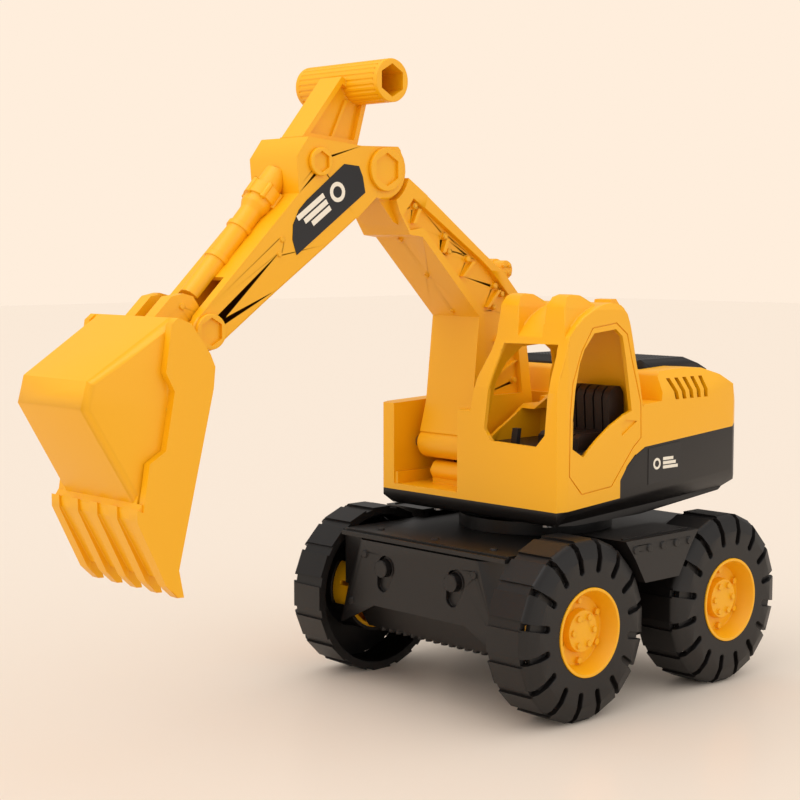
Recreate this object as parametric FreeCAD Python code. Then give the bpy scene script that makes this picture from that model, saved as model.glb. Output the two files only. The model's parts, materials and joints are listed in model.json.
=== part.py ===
"""Sandbox toy excavator: a wheeled chassis, a slewing house with its cab, a boom, an arm
with a grab handle, and a toothed bucket, each built from its own moulded pieces.

Millimetres. +X is the digging end, +Y the cab side, +Z up. The ground is z = 0 and the slew axis is the
Z axis. The boom, arm and bucket outlines are each written about their own pivot, and the house outlines
about the slew axis at the height of the tub's underside.
"""

import FreeCAD, Part
import math
import os

V = FreeCAD.Vector

# ---- wheels and axles
wheel_radius = 50.0         # axle centre to a lug's flat face
wheel_base = 126.2          # front axle to rear axle
track_inner = 68.2          # centre plane to a tyre's inner edge
tyre_width = 29.6
lug_count = 16
tyre_wall = 3.2
slot_half = 1.9             # half the width of a slot between two lugs
sleeve_wall = 2.0           # the tyre's inner sleeve, which grips the rim
tab_turn = -12.0            # degrees; how far above level the rim's notches sit
tab_half = 13.0             # half the height of the gap in the sleeve that shows the rim
sleeve_start = 85.0         # centre plane to the sleeve, where it stands back to show the rim
notch_depth = 8.0
rim_radius = 24.5
dish_depth = 9.0
axle_radius = 2.0
axle_clearance = 0.08       # running clearance in the chassis bores

# ---- chassis
deck_rise = 41.0            # axle centre to the deck's top face
chassis_half_length = 98.0
chassis_half_width = 66.4
chassis_wall = 2.4
plate_bottom = 35.0         # lowest corners of the bumper plates, above the ground
belly_z = 30.0
step_half_top = 32.6
step_reach = 97.0           # centre plane to the side step's outer face
screw_radius = 1.5

# ---- slew bearing
ring_outer = 46.0
ring_inner = 34.0
ring_height = 8.0
post_radius = 12.0
slew_gap = 0.3              # between the turning faces
bearing_clearance = 0.08

# ---- house
house_half = 73.0
house_front = 60.0
house_rear = 118.0
shell_wall = 2.4
tub_height = 11.4           # tub underside to its front rim
rim_rise = 0.071            # the rim climbs this much for each millimetre back
skirt_height = 26.0         # how far the tub's rear walls stand above the rim line
slot_left = -6.8            # the boom's slot, between the cab and the right fender
slot_right = -60.6
slot_back = -26.0
slot_floor = 15.0           # above the tub's underside datum
fender_top = 63.5
cab_back = -11.0
hood_top = 86.0
cover_half = 50.0
cover_front = -36.0
cover_rear = -101.0
vent_count = 5
vent_pitch = 8.3
vent_width = 3.5

# ---- boom
boom_y = -33.7              # centre plane of boom, arm and bucket
boom_pivot_x = 38.0
boom_pivot_rise = 39.0      # above the tub's underside datum
boom_half = 19.7
boom_wall = 2.4
recess_depth = 3.6          # how deep the bands along the boom's sides are
boom_pin_radius = 3.5
barrel_radius = 9.0
tongue_half = 13.6          # the boom's top end, between the arm's cheeks
tongue_end = 9.5            # radius round the arm pin, under the arm's roof
boom_reach = 72.5           # base pivot to arm pivot, along X
boom_height = 160.8         # base pivot to arm pivot, along Z

# ---- arm
arm_half = 20.0
arm_wall = 2.4
cheek_gap = 0.35
arm_end_radius = 16.5
arm_pin_radius = 5.0
arm_reach = 121.7           # arm pivot to bucket pivot, along X
arm_drop = 85.8             # arm pivot to bucket pivot, along Z
boss_radius = 12.0
boss_height = 2.4
handle_pin_x = 47.5
handle_pin_z = 2.7
small_boss_radius = 7.6
grip_radius = 11.75
grip_length = 68.0
grip_shift = 2.5            # the grip's middle stands this far towards the cab from the arm's
bracket_half = 9.0
grip_x = 9.5                # crossbar centre from the arm pivot
grip_z = 47.2
grip_hex = 18.0             # across corners of the sockets in the crossbar's ends
grip_socket = 26.0
flute_count = 24

# ---- bucket
bucket_half = 38.7
bucket_wall = 2.4
bucket_chamfer = 3.4
bucket_pin_radius = 3.5
bucket_end_radius = 10.0
ear_gap = 7.6               # centre plane to the inner face of a bucket ear
ear_thickness = 5.4
ear_nose = 4.6              # centre plane to the ears' thicker front ends
tooth_count = 5
tooth_pitch = 17.6
tooth_half = 3.6
pin_clearance = 0.08

# ---- places worked out from the sizes above
axle_z = wheel_radius
deck_z = axle_z + deck_rise
ring_top = deck_z + ring_height
tub_z = ring_top + 1.0      # datum of the house outlines
boom_pivot = V(boom_pivot_x, boom_y, tub_z + boom_pivot_rise)
arm_pivot = boom_pivot + V(boom_reach, 0, boom_height)
bucket_pivot = arm_pivot + V(arm_reach, 0, -arm_drop)
tyre_outer = track_inner + tyre_width


# ---------------------------------------------------------------- shape helpers

def outline(points):
    return Part.Face(Part.makePolygon(points + points[:1]))


def xz(points, y_low, y_high):
    """A prism from an outline in the side view, between two planes across the machine."""
    return outline([V(x, y_low, z) for x, z in points]).extrude(V(0, y_high - y_low, 0))


def yz(points, x_low, x_high):
    return outline([V(x_low, y, z) for y, z in points]).extrude(V(x_high - x_low, 0, 0))


def xy(points, z_low, z_high):
    return outline([V(x, y, z_low) for x, y in points]).extrude(V(0, 0, z_high - z_low))


def block(x_low, x_high, y_low, y_high, z_low, z_high):
    return Part.makeBox(x_high - x_low, y_high - y_low, z_high - z_low, V(x_low, y_low, z_low))


def rod_y(x, z, radius, y_low, y_high):
    return Part.makeCylinder(radius, y_high - y_low, V(x, y_low, z), V(0, 1, 0))


def rod_z(x, y, radius, z_low, z_high):
    return Part.makeCylinder(radius, z_high - z_low, V(x, y, z_low), V(0, 0, 1))


def rod_x(y, z, radius, x_low, x_high):
    return Part.makeCylinder(radius, x_high - x_low, V(x_low, y, z), V(1, 0, 0))


def hexagon(x, z, across, y_low, y_high):
    """A hexagonal prism across the machine, measured over its corners."""
    turn = [math.radians(30 + 60 * k) for k in range(6)]
    return xz([(x + across / 2 * math.cos(t), z + across / 2 * math.sin(t)) for t in turn], y_low, y_high)


def arc(x, z, radius, start, end, steps):
    """Points on a circle, from one angle in degrees to another."""
    turn = [math.radians(start + (end - start) * k / steps) for k in range(steps + 1)]
    return [(x + radius * math.cos(t), z + radius * math.sin(t)) for t in turn]


def inset(points, distance):
    """An outline with every edge moved inwards by the same distance."""
    area = sum(a[0] * b[1] - b[0] * a[1] for a, b in zip(points, points[1:] + points[:1]))
    side = distance if area > 0 else -distance
    moved = []
    for before, here, after in zip(points[-1:] + points[:-1], points, points[1:] + points[:1]):
        first = (here[0] - before[0], here[1] - before[1])
        second = (after[0] - here[0], after[1] - here[1])
        first = tuple(c / math.hypot(*first) for c in first)
        second = tuple(c / math.hypot(*second) for c in second)
        normal = (-first[1] - second[1], first[0] + second[0])
        scale = side / (1 + first[0] * second[0] + first[1] * second[1])
        moved.append((here[0] + normal[0] * scale, here[1] + normal[1] * scale))
    return moved


def shifted(points, pivot):
    return [(x + pivot.x, z + pivot.z) for x, z in points]


def joined(first, *others):
    return first.fuse(list(others)).removeSplitter() if others else first


def mirrored(shape, plane_y=0.0):
    return shape.mirror(V(0, plane_y, 0), V(0, 1, 0))


def group(shapes):
    return Part.makeCompound(shapes)


def save(name, shape):
    shape.exportStep("parts/" + name + ".step")


# ---------------------------------------------------------------- wheels

def tyre():
    """A hollow moulded tyre about the Y axis, on the +Y side: flat lugs, and a slot between each pair
    that runs down the shoulder onto the sidewall. It is open on its inner side."""
    corner = wheel_radius / math.cos(math.pi / lug_count)
    turn = [math.pi / 2 + math.pi / lug_count * (2 * k + 1) for k in range(lug_count)]

    def ring(radius, y):
        return Part.makePolygon([V(radius * math.cos(t), y, radius * math.sin(t)) for t in turn + turn[:1]])

    shoulder = tyre_outer - 6.5
    solid = Part.makeLoft([ring(corner, track_inner), ring(corner, shoulder)], True, True)
    solid = solid.fuse(Part.makeLoft([ring(corner, shoulder), ring(corner - 3.2, tyre_outer - 2.4)], True, True))
    solid = solid.fuse(Part.makeLoft([ring(corner - 3.2, tyre_outer - 2.4), ring(corner - 10.0, tyre_outer)],
                                     True, True)).removeSplitter()
    inside = wheel_radius - tyre_wall - 1.8
    hollow = rod_y(0, 0, inside, track_inner - 1, tyre_outer - 2 * tyre_wall).cut(
        rod_y(0, 0, rim_radius + sleeve_wall, track_inner + 2.5, tyre_outer))
    solid = solid.cut(hollow).cut(rod_y(0, 0, rim_radius, track_inner, tyre_outer + 1))
    gap = block(-30, 30, track_inner - 1, sleeve_start, -tab_half, tab_half)
    gap.rotate(V(0, 0, 0), V(0, 1, 0), tab_turn)
    solid = solid.cut(gap)
    strip = block(wheel_radius - 0.9, corner + 1, track_inner - 1, shoulder + 1.5, -2.9, 2.9)
    slot = joined(block(34.5, 46.0, shoulder + 3.0, tyre_outer + 1, -slot_half, slot_half),
                  rod_y(34.5, 0, slot_half, shoulder + 3.0, tyre_outer + 1),
                  block(44.8, corner + 1, shoulder - 0.4, tyre_outer + 1, -slot_half, slot_half))
    slots = []
    for k in range(lug_count):
        for tool in (slot, strip):
            copy = tool.copy()
            copy.rotate(V(0, 0, 0), V(0, 1, 0), 360.0 / lug_count * (k + 0.5))
            slots.append(copy)
    return solid.cut(slots)


def rim():
    """The yellow rim: a recessed dish, and a drum with two notches in its inner end."""
    bottom = tyre_outer - dish_depth
    drum = rod_y(0, 0, rim_radius, track_inner + 3, tyre_outer + 0.6)
    drum = drum.cut(Part.makeCone(rim_radius - 5.5, rim_radius - 1.6, dish_depth + 0.6, V(0, bottom, 0), V(0, 1, 0)))
    drum = drum.cut(rod_y(0, 0, rim_radius - 2.4, track_inner, bottom - 2.4))
    drum = drum.fuse(rod_y(0, 0, 7.0, track_inner - 1.4, bottom - 2.4))
    nubs = []
    for k in range(6):
        turn = math.radians(60 * k + 30)
        nubs.append(rod_y(16.6 * math.cos(turn), 16.6 * math.sin(turn), 1.9, bottom - 0.5, bottom + 2.2))
    drum = joined(drum, *nubs)
    for side in (-1, 1):
        low, high = sorted((side * (rim_radius - 6), side * (rim_radius + 2)))
        notch = block(low, high, track_inner, track_inner + 3 + notch_depth, -1.5, 1.5)
        notch.rotate(V(0, 0, 0), V(0, 1, 0), tab_turn)
        drum = drum.cut(notch)
    return drum.cut(rod_y(0, 0, axle_radius, track_inner - 2, tyre_outer))


def hub_cap():
    """The raised centre disc with six nubs, which hides the axle's end."""
    bottom = tyre_outer - dish_depth
    disc = Part.makeCone(12.2, 11.4, 4.2, V(0, bottom, 0), V(0, 1, 0))
    nubs = []
    for k in range(6):
        turn = math.radians(60 * k)
        nubs.append(rod_y(8.4 * math.cos(turn), 8.4 * math.sin(turn), 1.8, bottom + 3.6, bottom + 5.6))
    return joined(disc, *nubs)


def wheels():
    for end, x in (("front", wheel_base / 2), ("rear", -wheel_base / 2)):
        reach = tyre_outer - dish_depth
        save(end + "_axle", rod_y(x, axle_z, axle_radius, -reach, reach))
        for name, make in (("tyre", tyre), ("rim", rim), ("hub_cap", hub_cap)):
            left = make()
            left.translate(V(x, 0, axle_z))
            save(name + "_" + end + "_left", left)
            save(name + "_" + end + "_right", mirrored(left))


# ---------------------------------------------------------------- chassis

def bumper_plate():
    """The front plate: a flat trapezoid whose lower corners flare out and down, with its ends folded
    back from a slanting line, two pegs in tear-shaped recesses, and bolts near its ends."""
    x = chassis_half_length
    top = deck_z - 4.5
    side = chassis_half_width
    low = plate_bottom
    flat = [(-47, top), (47, top), (side - 0.4, low), (37, low + 14), (-37, low + 14), (-side + 0.4, low)]
    plate = yz(flat, x - chassis_wall, x)
    for hand in (-1, 1):
        back = 14.0
        face = [V(x, 47 * hand, top), V(x, (side - 0.4) * hand, low), V(x - back, (side - 0.4) * hand, top)]
        plate = plate.fuse(outline(face).extrude(V(-chassis_wall, 0, 0)))
        y, z = 28.4 * hand, top - 16.5
        tear = arc(y - 1.2, z - 7.4, 4.6, 190, 330, 6) + arc(y + 1.6, z + 2.4, 7.0, -15, 160, 8)
        backing = block(x - chassis_wall - 1.6, x - chassis_wall + 0.3, y - 7.0, y + 9.8, z - 13.0, z + 10.6)
        plate = plate.fuse(backing).cut(yz(tear, x - chassis_wall, x + 1))
        plate = plate.fuse(rod_x(y - 0.4, z + 1.9, 5.1, x - chassis_wall - 0.8, x + 2.4))
        plate = plate.fuse([rod_x(44.5 * hand, top - 8, 2.2, x - 1, x + 1.0),
                            rod_x(56.5 * hand, low + 14, 2.2, x - 1, x + 1.0)])
    return plate.removeSplitter()


def side_step():
    """One hollow step between the wheels, with a row of five bolts along its top."""
    top, low = deck_z + 4.6, deck_z - 20.4
    face = [(-step_half_top, top), (step_half_top, top), (step_half_top - 8.6, top - 11), (15.2, low),
            (-15.2, low), (8.6 - step_half_top, top - 11)]
    inner = chassis_half_width - chassis_wall
    step = xz(face, inner, step_reach).cut(xz(inset(face, chassis_wall), inner - 1, step_reach - chassis_wall))
    bolts = [rod_y(12.0 * k, top - 5.6, 2.2, step_reach - 0.5, step_reach + 0.8) for k in (-2, -1, 0, 1, 2)]
    rim_bar = block(-step_half_top + 3, step_half_top - 3, step_reach - 6, step_reach - 4.6, top, top + 0.8)
    return joined(step, rim_bar, *bolts)


def chassis_upper():
    """Deck, side walls, both bumper plates and the side steps, open underneath."""
    length, side, wall = chassis_half_length, chassis_half_width, chassis_wall
    skirt = axle_z + 8.0
    body = block(-length + 4, length - 4, -side, side, skirt, deck_z)
    body = body.cut(block(-length + 4 + wall, length - 4 - wall, wall - side, side - wall, skirt - 1, deck_z - wall))
    body = body.fuse([block(-length + 1, length - 1, -side, side, deck_z - 3.6, deck_z - 1.2)])
    plate = bumper_plate()
    pieces = [plate, plate.mirror(V(0, 0, 0), V(1, 0, 0)), side_step(), mirrored(side_step())]
    for x in (wheel_base / 2, -wheel_base / 2):
        for hand in (-1, 1):
            low, high = sorted((hand * (side - wall), hand * side))
            pieces.append(block(x - 9, x + 9, low, high, axle_z, skirt))
    for x in (-84, 84):
        pieces += [rod_z(x, y, 2.2, deck_z - 1, deck_z + 1.0) for y in (-46, 0, 46)]
    body = joined(body, *pieces)
    for x in (wheel_base / 2, -wheel_base / 2):
        body = body.cut(rod_y(x, axle_z, axle_radius + axle_clearance, -side - 1, side + 1))
    body = body.cut(rod_z(0, 0, post_radius, deck_z - 10, deck_z + 1))
    return body


def chassis_lower():
    """The belly pan with sloping ends, toothed lower edges, and the saddles that carry the axles."""
    length, wall = chassis_half_length - 8, chassis_wall
    side = chassis_half_width - wall - 0.4
    top = axle_z - 0.2
    form = [(-length, top), (-length + 12, belly_z), (length - 12, belly_z), (length, top)]
    pan = xz(form, -side, side).cut(xz([(-length + wall, top + 1), (-length + 12 + wall, belly_z + wall),
                                        (length - 12 - wall, belly_z + wall), (length - wall, top + 1)],
                                       wall - side, side - wall))
    saddles = []
    for x in (wheel_base / 2, -wheel_base / 2):
        saddles += [block(x - 8, x + 8, y - 2, y + 2, belly_z + 1, top) for y in (-46, -15, 15, 46)]
    teeth = []
    pitch = 6.4
    for end in (-1, 1):
        for k in range(-8, 9):
            x = end * (length - 13.5)
            teeth.append(rod_z(x, k * pitch, 2.2, belly_z - 1.4, belly_z + 1.5))
    pan = joined(pan, *saddles, *teeth)
    for x in (wheel_base / 2, -wheel_base / 2):
        pan = pan.cut(rod_y(x, axle_z, axle_radius + axle_clearance, -side - 1, side + 1))
    for x, y in chassis_screw_places():
        pan = pan.cut(rod_z(x, y, screw_radius, belly_z - 1, belly_z + 10))
    return pan


def chassis_screw_places():
    return [(x, y) for x in (-24, 24) for y in (-40, 40)]


def pan_screw(x, y, z):
    """A pan-head screw driven upwards, its head under z, with a cross recess."""
    head = rod_z(x, y, 3.0, z - 1.8, z)
    cross = joined(block(x - 2, x + 2, y - 0.4, y + 0.4, z - 2, z - 1), block(x - 0.4, x + 0.4, y - 2, y + 2, z - 2, z - 1))
    return joined(head, rod_z(x, y, screw_radius, z - 0.1, z + 9)).cut(cross)


def slew_bearing():
    ring = rod_z(0, 0, ring_outer, deck_z, ring_top).cut(rod_z(0, 0, ring_inner, deck_z - 1, ring_top + 1))
    save("turntable_ring", ring)
    top = tub_z + 6.0 + slew_gap
    post = rod_z(0, 0, post_radius, deck_z - chassis_wall - 1.2, top).cut(rod_z(0, 0, 8.0, deck_z - 5, top - 3))
    save("slew_post", post.cut(rod_z(0, 0, screw_radius + 0.8, deck_z - 5, top + 1)))
    save("slew_washer", rod_z(0, 0, post_radius + 6, top, top + 2).cut(rod_z(0, 0, screw_radius + 0.8, top - 1, top + 3)))
    screw = joined(rod_z(0, 0, 5.0, top + 2, top + 4.6), rod_z(0, 0, screw_radius + 0.8, top - 3, top + 2.1))
    save("slew_screw", screw.cut(block(-3.6, 3.6, -0.6, 0.6, top + 3.4, top + 5)))


def chassis():
    save("chassis_upper", chassis_upper())
    save("chassis_lower", chassis_lower())
    save("chassis_screws", group([pan_screw(x, y, belly_z) for x, y in chassis_screw_places()]))
    slew_bearing()


# ---------------------------------------------------------------- house

def rim_z(x):
    """Height of the line where the tub's walls meet its sloping underside."""
    return tub_z + tub_height + rim_rise * (house_front - x)


def waist_line():
    """The tub's upper edge from front to rear: along the rim under the cab, up an arc, then back."""
    arc_points = [(9.0, 10.0), (3.6, 16.5), (-4.3, 22.5), (-13.0, skirt_height)]
    points = [(house_front, rim_z(house_front)), (9.0, rim_z(9.0))]
    points += [(x, rim_z(x) + rise) for x, rise in arc_points]
    return points + [(-house_rear, rim_z(-house_rear) + skirt_height)]


def house_plan(distance=0.0):
    """The house seen from above, drawn in by a distance."""
    front, rear, half = house_front, house_rear, house_half
    corners = [(front - 6, half), (front, half - 3), (front, 3 - half), (front - 6, -half), (21 - rear, -half),
               (8 - rear, 8 - half), (-rear, 23 - half), (-rear, half - 23), (8 - rear, half - 8), (21 - rear, half)]
    return inset(corners, distance) if distance else corners


def flank(hand, distance):
    """The wedge taken off the tub's lower edge on one side, along the climb of the rim."""
    x, half = house_front + 20, house_half - distance
    corner = [V(x, hand * half, rim_z(x)), V(x, hand * (half - 8.5), rim_z(x) - 12.6),
              V(x, hand * (half - 8.5), rim_z(x) - 60), V(x, hand * (half + 30), rim_z(x) - 60),
              V(x, hand * (half + 30), rim_z(x) + 30 * 12.6 / 8.5)]
    length = house_front + house_rear + 60
    return outline(corner).extrude(V(-length, 0, rim_rise * length))


def tub_volume(distance):
    """Everything inside the tub's outer faces, drawn in by a distance: a flat underside that rises to
    the rear, and sides that slope out to the rim."""
    front, rear, base = house_front, house_rear, tub_z
    side = waist_line() + [(-rear + 1, base + 28), (-rear + 6, base + 18), (-95.4, base + 8.6),
                           (-20.7, base + 1.8), (44.5, base - 0.1), (front - 5, base + 2.5), (front, base + 7.5)]
    volume = xz(inset(side, distance) if distance else side, -90, 90)
    volume = volume.common(xy(house_plan(distance), base - 10, base + 100))
    lift = V(0, 0, distance * 0.5)
    wedges = [flank(1, distance), flank(-1, distance)]
    for wedge in wedges:
        wedge.translate(lift)
    return volume.cut(wedges)


def tub():
    inner = tub_volume(shell_wall)
    drop = shell_wall + 1
    edge = [(house_front + drop, rim_z(house_front) - drop)] + [(x - drop, z - drop) for x, z in waist_line()]
    edge += [(-house_rear - drop, tub_z + 90), (house_front + drop, tub_z + 90)]
    lid = xz(edge, -90, 90).common(xy(house_plan(shell_wall), tub_z, tub_z + 90))
    shell = tub_volume(0).cut(inner).cut(lid)
    boss = rod_z(0, 0, 30, ring_top + slew_gap, tub_z + 6.0)
    shell = joined(shell, boss)
    shell = shell.cut(rod_z(0, 0, post_radius + bearing_clearance, tub_z - 10, tub_z + 20))
    tops = [rod_z(x, y, 3.6, underside(x), underside(x) + 7).common(tub_volume(0)) for x, y in tub_screw_places()]
    shell = joined(shell, *tops)
    return shell.cut([rod_z(x, y, screw_radius, underside(x) - 2, underside(x) + 9) for x, y in tub_screw_places()])


def underside(x):
    """Height of the tub's underside at a screw."""
    return tub_z + (0.9 if x > 0 else 6.6)


def tub_screw_places():
    return [(38.0, 44.0), (38.0, -44.0), (-68.0, 46.0), (-68.0, -46.0)]


def cab_side():
    """The cab's outline from the side, from its foot at the front, over the roof, to the tub's arc."""
    front = [(60.0, 48), (61.2, 58), (60.9, 71), (58.9, 85), (55.4, 99), (53.4, 108), (48.0, 113.5), (41.5, 118.5)]
    roof = [(33.0, 122.5), (24.0, 125.2), (16.0, 126.0), (9.0, 124.5), (3.6, 119.5), (1.0, 113.5)]
    back = [(-1.6, 104.0), (-4.5, 92), (-7.5, 82), (-9.5, 73), (cab_back, 66)]
    tub_edge = [(x, z) for x, z in waist_line() if cab_back < x]
    low = [(cab_back, waist_at(cab_back))] + tub_edge[::-1]
    return [(x, z + tub_z) for x, z in front + roof + back] + low


def waist_at(x):
    line = waist_line()
    for (x1, z1), (x2, z2) in zip(line, line[1:]):
        if x2 <= x <= x1 and x1 != x2:
            return z1 + (z2 - z1) * (x1 - x) / (x1 - x2)


def cab_front():
    """The cab's outline from the front: upright on the left, and a curved right side that leans in."""
    right = [(slot_left, 63.5), (3.6, 63.5), (8.0, 82), (12.6, 92), (16.4, 100), (18.2, 107), (18.4, 140)]
    left = [(house_half - 6, 140), (house_half, 122), (house_half, 0), (slot_left, 0)]
    return [(y, z + tub_z) for y, z in right + left]


def cab_volume(distance):
    side = inset(cab_side(), distance) if distance else cab_side()
    front = inset(cab_front(), distance) if distance else cab_front()
    return xz(side, -90, 90).common(yz(front, -90, 90)).common(xy(house_plan(distance), tub_z, tub_z + 160))


def side_window():
    glass = [(32.8, 109.4), (14.1, 111.2), (8.3, 106.9), (4.8, 92.7), (-0.6, 64.3), (6.5, 62.1), (17.6, 57.1),
             (28.6, 50.3), (37.2, 43.9), (41.2, 41), (50.3, 46.2), (49.8, 61.8), (47.9, 79.3), (44.4, 93.1),
             (40.2, 101.4)]
    return [(x, z + tub_z) for x, z in glass]


def door_line():
    seam = [(34.1, 112.8), (13.7, 115), (3.8, 108.2), (-0.2, 94.7), (-9.0, 68.7), (-9.6, 48.1), (-2.4, 42.8),
            (16.5, 22.2), (42.4, 20.1), (53.0, 31.1), (52.6, 65.6), (50.6, 82.9), (43.4, 100.1)]
    return [(x, z + tub_z) for x, z in seam]


def pod(y):
    """One lamp housing on the roof's front edge, which tapers back into the roof."""
    side = [(53.8, 106), (52.6, 115), (51.2, 124), (48.0, 129.5), (43.0, 131), (37.0, 130.5), (30.0, 127), (18.0, 121),
            (26.0, 108)]
    section = [(y - 7.6, 100), (y - 7.0, 124), (y - 4.6, 132), (y + 4.6, 132), (y + 7.0, 124), (y + 10.0, 100)]
    return xz([(x, z + tub_z) for x, z in side], y - 12, y + 12).common(yz([(a, b + tub_z) for a, b in section], 0, 80))


def cab_shell():
    """The cab with its lower body: roof, pillars, door panel and front panel, open at the windows."""
    shell = joined(cab_volume(0), pod(26.0), pod(60.6), xz([(x, z + tub_z) for x, z in
                   ((12.0, 122), (10.5, 127.5), (6.0, 127.8), (2.0, 123.5), (1.0, 112), (10, 112))], 54, 66))
    shell = shell.cut(cab_volume(shell_wall))
    low = xz([(x, z - 0.5) for x, z in cab_side()[-6:]] + [(house_front - shell_wall, tub_z + 40), (-8, tub_z + 50)],
             slot_left + shell_wall, house_half - shell_wall)
    shell = shell.cut(low.common(xy(house_plan(shell_wall), tub_z, tub_z + 60)))
    windscreen = [(25.0, 103.0), (65.6, 103.7), (61.1, 53.6), (54.5, 46.6), (20.3, 47.3), (14.6, 54), (18, 77.7)]
    shell = shell.cut(yz([(y, z + tub_z) for y, z in windscreen], 40, 80))
    shell = shell.cut(xz(side_window(), house_half - 8, house_half + 5))
    right = [(33, 100), (13, 101), (5, 97), (-2.4, 88), (-5.4, 69), (12, 58.5), (24, 51.5), (34, 45.5), (45, 46),
             (46, 60), (45, 78), (41, 92)]
    shell = shell.cut(xz([(x, z + tub_z) for x, z in right], slot_left - 5, 34))
    seam = xz(door_line(), house_half - 0.7, house_half + 1).cut(
        xz(inset(door_line(), 0.7), house_half - 1, house_half + 2))
    recess = [(-5.5, 58), (8, 50.5), (8.5, 57), (4.5, 59.5)]
    shell = shell.cut([seam, xz([(x, z + tub_z) for x, z in recess], house_half - 0.9, house_half + 1)])
    return shell.cut(rod_y(boom_pivot.x, boom_pivot.z, boom_pin_radius, slot_left - 1, slot_left + shell_wall + 1))


def hood_side(distance=0.0):
    top = hood_top
    points = [(house_front, fender_top), (21, fender_top + 1.5), (slot_back - 2, fender_top + 4.6), (-29.5, top - 4),
              (-33, top - 1.2), (-58, top), (-74, top - 1), (-88, top - 5), (-99, top - 12), (-108, top - 20),
              (-114.5, top - 27), (-house_rear, top - 33)]
    low = [(-house_rear, rim_z(-house_rear) + skirt_height)] + waist_line()[-2::-1]
    form = [(x, z + tub_z) for x, z in points] + low
    return inset(form, distance) if distance else form


def body_volume(distance):
    """Hood, right fender and slot surround as one filled form, with the hood's long edges bevelled."""
    half, top = house_half - distance, tub_z + hood_top - distance
    section = [(-half, tub_z), (half, tub_z), (half, top - 13), (half - 7, top + 0.5), (7 - half, top + 0.5),
               (-half, top - 13)]
    form = xz(hood_side(distance), -90, 90).common(yz(section, -150, 90))
    return form.common(xy(house_plan(distance), tub_z, tub_z + 100))


def body_shell():
    """The yellow body: hood with its vents, right fender, and the boom's slot."""
    wall, z = shell_wall, tub_z
    slot = block(slot_back, 90, slot_right, slot_left, z + slot_floor, z + 200)
    cab = block(cab_back, 90, slot_left, 90, z - 5, z + 200)
    slot_skin = block(slot_back - wall, 90, slot_right - wall, slot_left + wall, z + slot_floor - wall, z + 200)
    cab_skin = block(cab_back - wall, 90, slot_left - wall, 90, z - 5, z + 200)
    outer = body_volume(0).cut([slot, cab])
    inner = body_volume(wall)
    under = xz([(x, q - 0.5) for x, q in waist_line()] + [(-house_rear + wall, rim_z(-house_rear) + skirt_height + 8),
               (-13, z + 52), (0, z + 30), (house_front - wall, z + 24)], -90, 90).common(xy(house_plan(wall), z, z + 60))
    inner = joined(inner, under).cut([slot_skin, cab_skin])
    shell = outer.cut(inner)
    ledge = block(slot_back, house_front - 1, slot_right, slot_right + 2.2, z + slot_floor, z + slot_floor + 7)
    motor = rod_y(boom_pivot.x - 1, z + slot_floor + 7.5, 6.0, slot_right + 14, slot_left)
    seat = block(boom_pivot.x - 5, boom_pivot.x + 3, slot_right + 14, slot_left, z + slot_floor, z + slot_floor + 7)
    nubs = []
    for k in range(5):
        turn = math.radians(72 * k)
        nubs.append(rod_y(boom_pivot.x - 1 + 4 * math.cos(turn), z + slot_floor + 7.5 + 4 * math.sin(turn), 1.3,
                          slot_right + 12.6, slot_right + 15))
    shell = joined(shell, ledge, motor, seat, *nubs)
    cover = block(cover_rear, cover_front, -cover_half, cover_half, z + hood_top - 12, z + hood_top + 5)
    vents = []
    for k in range(vent_count):
        x = -36.4 - vent_pitch * k
        vent = [(x, 80.6), (x - vent_width, 80.6), (x - vent_width - 4.6, 68.2), (x - 4.6, 68.2)]
        vent = xz([(a + 0.6 * k * (1 if b > 75 else 2.4), b + z) for a, b in vent], house_half - 9, house_half + 2)
        vents += [vent, mirrored(vent)]
    shell = shell.cut([cover] + vents)
    return shell.cut(rod_y(boom_pivot.x, boom_pivot.z, boom_pin_radius, slot_right - 8, slot_right + 1))


def engine_cover():
    """The black lid with chamfered ends that sits in the hood's opening."""
    top, low = tub_z + hood_top + 4.2, tub_z + hood_top - 12
    side = [(cover_front, low), (cover_front, top - 4), (cover_front - 5, top), (cover_rear + 18, top),
            (cover_rear, top - 8), (cover_rear, low)]
    section = [(-cover_half, low), (cover_half, low), (cover_half, top - 3.5), (cover_half - 4, top),
               (4 - cover_half, top), (-cover_half, top - 3.5)]
    outer = xz(side, -90, 90).common(yz(section, -150, 0))
    plan = [(cover_front, cover_half - 9), (cover_front - 9, cover_half), (cover_rear, cover_half),
            (cover_rear, -cover_half), (cover_front - 9, -cover_half), (cover_front, 9 - cover_half)]
    flange = block(cover_rear, cover_front, -cover_half, cover_half, low, low + 6)
    outer = joined(outer.common(xy(plan, low, top)), flange)
    inner = xz(inset(side, 2), 2 - cover_half, cover_half - 2)
    return outer.cut(inner.common(xy(inset(plan, 2), low, top)).fuse(block(cover_rear + 2, cover_front - 2, 2 - cover_half,
                                                                          cover_half - 2, low - 1, low + 4)))


def cab_floor():
    plan = inset([(cab_back, slot_left), (house_front, slot_left), (house_front, house_half - 3),
                  (house_front - 6, house_half), (cab_back, house_half)], shell_wall)
    return xy(plan, tub_z + 41.2, tub_z + 43.2)


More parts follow.
